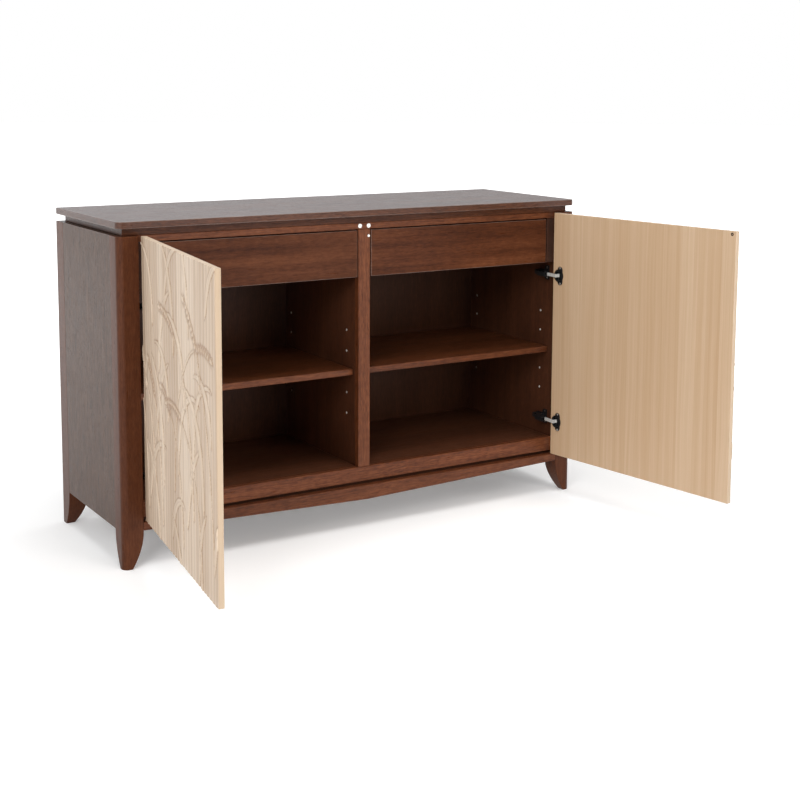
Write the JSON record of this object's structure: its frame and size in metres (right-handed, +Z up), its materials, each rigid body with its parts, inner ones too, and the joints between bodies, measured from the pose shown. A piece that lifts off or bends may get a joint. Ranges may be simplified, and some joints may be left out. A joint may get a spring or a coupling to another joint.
{
  "type": "sideboard cabinet",
  "caption": "Low wooden sideboard on tapered corner feet, with a floating slab top, inset doors on concealed hinges, sliding drawers and adjustable shelves.",
  "frame": {"origin": "on the floor, under the middle of the box that holds the cabinet with both doors open", "axes": "+X to the right along the cabinet's width as seen from the front, +Y towards its back, +Z up"},
  "size_m": [1.536, 1.1588, 0.914],
  "materials": {
    "walnut": "semi-gloss lacquer over dark stained veneer",
    "dark_walnut": "satin lacquer over dark stained wood",
    "maple": "satin lacquer over pale staves",
    "black_steel": "black zinc",
    "bright_steel": "nickel plated",
    "white_plastic": "moulded",
    "dark_plastic": "moulded"
  },
  "bodies": {
    "cabinet": {"top_slab": "walnut", "neck_board": "walnut", "top_panel": "walnut", "bottom_panel": "dark_walnut", "bottom_front_rail": "walnut", "recessed_base_moulding": "dark_walnut", "front_apron": "walnut", "rear_rail": "dark_walnut", "back_panel": "dark_walnut", "centre_stile": "walnut", "centre_divider": "dark_walnut", "stile_bumper": "white_plastic", "front_left_post": "walnut", "front_right_post": "walnut", "back_left_post": "walnut", "back_right_post": "walnut", "left_side_panel": "walnut", "right_side_panel": "walnut", "left_side_liner": "dark_walnut", "right_side_liner": "dark_walnut", "left_shelf": "walnut", "right_shelf": "walnut", "left_drawer_spacer": "dark_walnut", "right_drawer_spacer": "dark_walnut", "left_inner_cabinet_slide": "black_steel", "left_outer_cabinet_slide": "black_steel", "right_inner_cabinet_slide": "black_steel", "right_outer_cabinet_slide": "black_steel", "left_lower_hinge_arm": "black_steel", "left_upper_hinge_arm": "black_steel", "right_lower_hinge_arm": "black_steel", "right_upper_hinge_arm": "black_steel", "left_latch_tube": "dark_plastic", "right_latch_tube": "dark_plastic"},
    "left_door": {"left_door_panel": "maple", "left_lower_hinge_cup": "black_steel", "left_upper_hinge_cup": "black_steel"},
    "right_door": {"right_door_panel": "maple", "right_lower_hinge_cup": "black_steel", "right_upper_hinge_cup": "black_steel"},
    "left_hinge_links": {"left_lower_hinge_link": "bright_steel", "left_upper_hinge_link": "bright_steel"},
    "right_hinge_links": {"right_lower_hinge_link": "bright_steel", "right_upper_hinge_link": "bright_steel"},
    "left_drawer": {"left_drawer_front": "walnut", "left_drawer_box": "dark_walnut", "left_drawer_bottom": "dark_walnut", "left_inner_drawer_slide": "black_steel", "left_outer_drawer_slide": "black_steel"},
    "right_drawer": {"right_drawer_front": "walnut", "right_drawer_box": "dark_walnut", "right_drawer_bottom": "dark_walnut", "right_inner_drawer_slide": "black_steel", "right_outer_drawer_slide": "black_steel"},
    "left_middle_slides": {"left_inner_middle_slide": "black_steel", "left_outer_middle_slide": "black_steel"},
    "right_middle_slides": {"right_inner_middle_slide": "black_steel", "right_outer_middle_slide": "black_steel"},
    "left_latch_plunger": {"left_latch_plunger": "white_plastic"},
    "right_latch_plunger": {"right_latch_plunger": "white_plastic"}
  },
  "joints": [
    {"name": "left_door_swing", "type": "hinge", "parent": "cabinet", "child": "left_door", "pos_m": [-0.6745, 0.08947, 0.5], "axis": [0, 0, -1], "range_deg": [-98, 7]},
    {"name": "right_door_swing", "type": "hinge", "parent": "cabinet", "child": "right_door", "pos_m": [0.6745, 0.08947, 0.5], "axis": [0, 0, 1], "range_deg": [-98, 7]},
    {"name": "left_link_turn", "type": "hinge", "parent": "left_door", "child": "left_hinge_links", "pos_m": [-0.66463, 0.07345, 0.5], "axis": [0, 0, -1], "range_deg": [-7, 98]},
    {"name": "right_link_turn", "type": "hinge", "parent": "right_door", "child": "right_hinge_links", "pos_m": [0.66463, 0.07345, 0.5], "axis": [0, 0, 1], "range_deg": [-7, 98]},
    {"name": "left_drawer_slide", "type": "slide", "parent": "cabinet", "child": "left_drawer", "axis": [0, -1, 0], "range_m": [0, 0.4]},
    {"name": "right_drawer_slide", "type": "slide", "parent": "cabinet", "child": "right_drawer", "axis": [0, -1, 0], "range_m": [0, 0.4]},
    {"name": "left_middle_slide", "type": "slide", "parent": "cabinet", "child": "left_middle_slides", "axis": [0, -1, 0], "range_m": [0, 0.2]},
    {"name": "right_middle_slide", "type": "slide", "parent": "cabinet", "child": "right_middle_slides", "axis": [0, -1, 0], "range_m": [0, 0.2]},
    {"name": "left_latch_push", "type": "slide", "parent": "cabinet", "child": "left_latch_plunger", "axis": [0, -1, 0], "range_m": [-0.002, 0.014]},
    {"name": "right_latch_push", "type": "slide", "parent": "cabinet", "child": "right_latch_plunger", "axis": [0, -1, 0], "range_m": [-0.002, 0.014]}
  ],
  "couplings": [
    {"joint": "left_link_turn", "follows": "left_door_swing", "ratio": -1},
    {"joint": "right_link_turn", "follows": "right_door_swing", "ratio": -1},
    {"joint": "left_middle_slide", "follows": "left_drawer_slide", "ratio": 0.5},
    {"joint": "right_middle_slide", "follows": "right_drawer_slide", "ratio": 0.5}
  ]
}
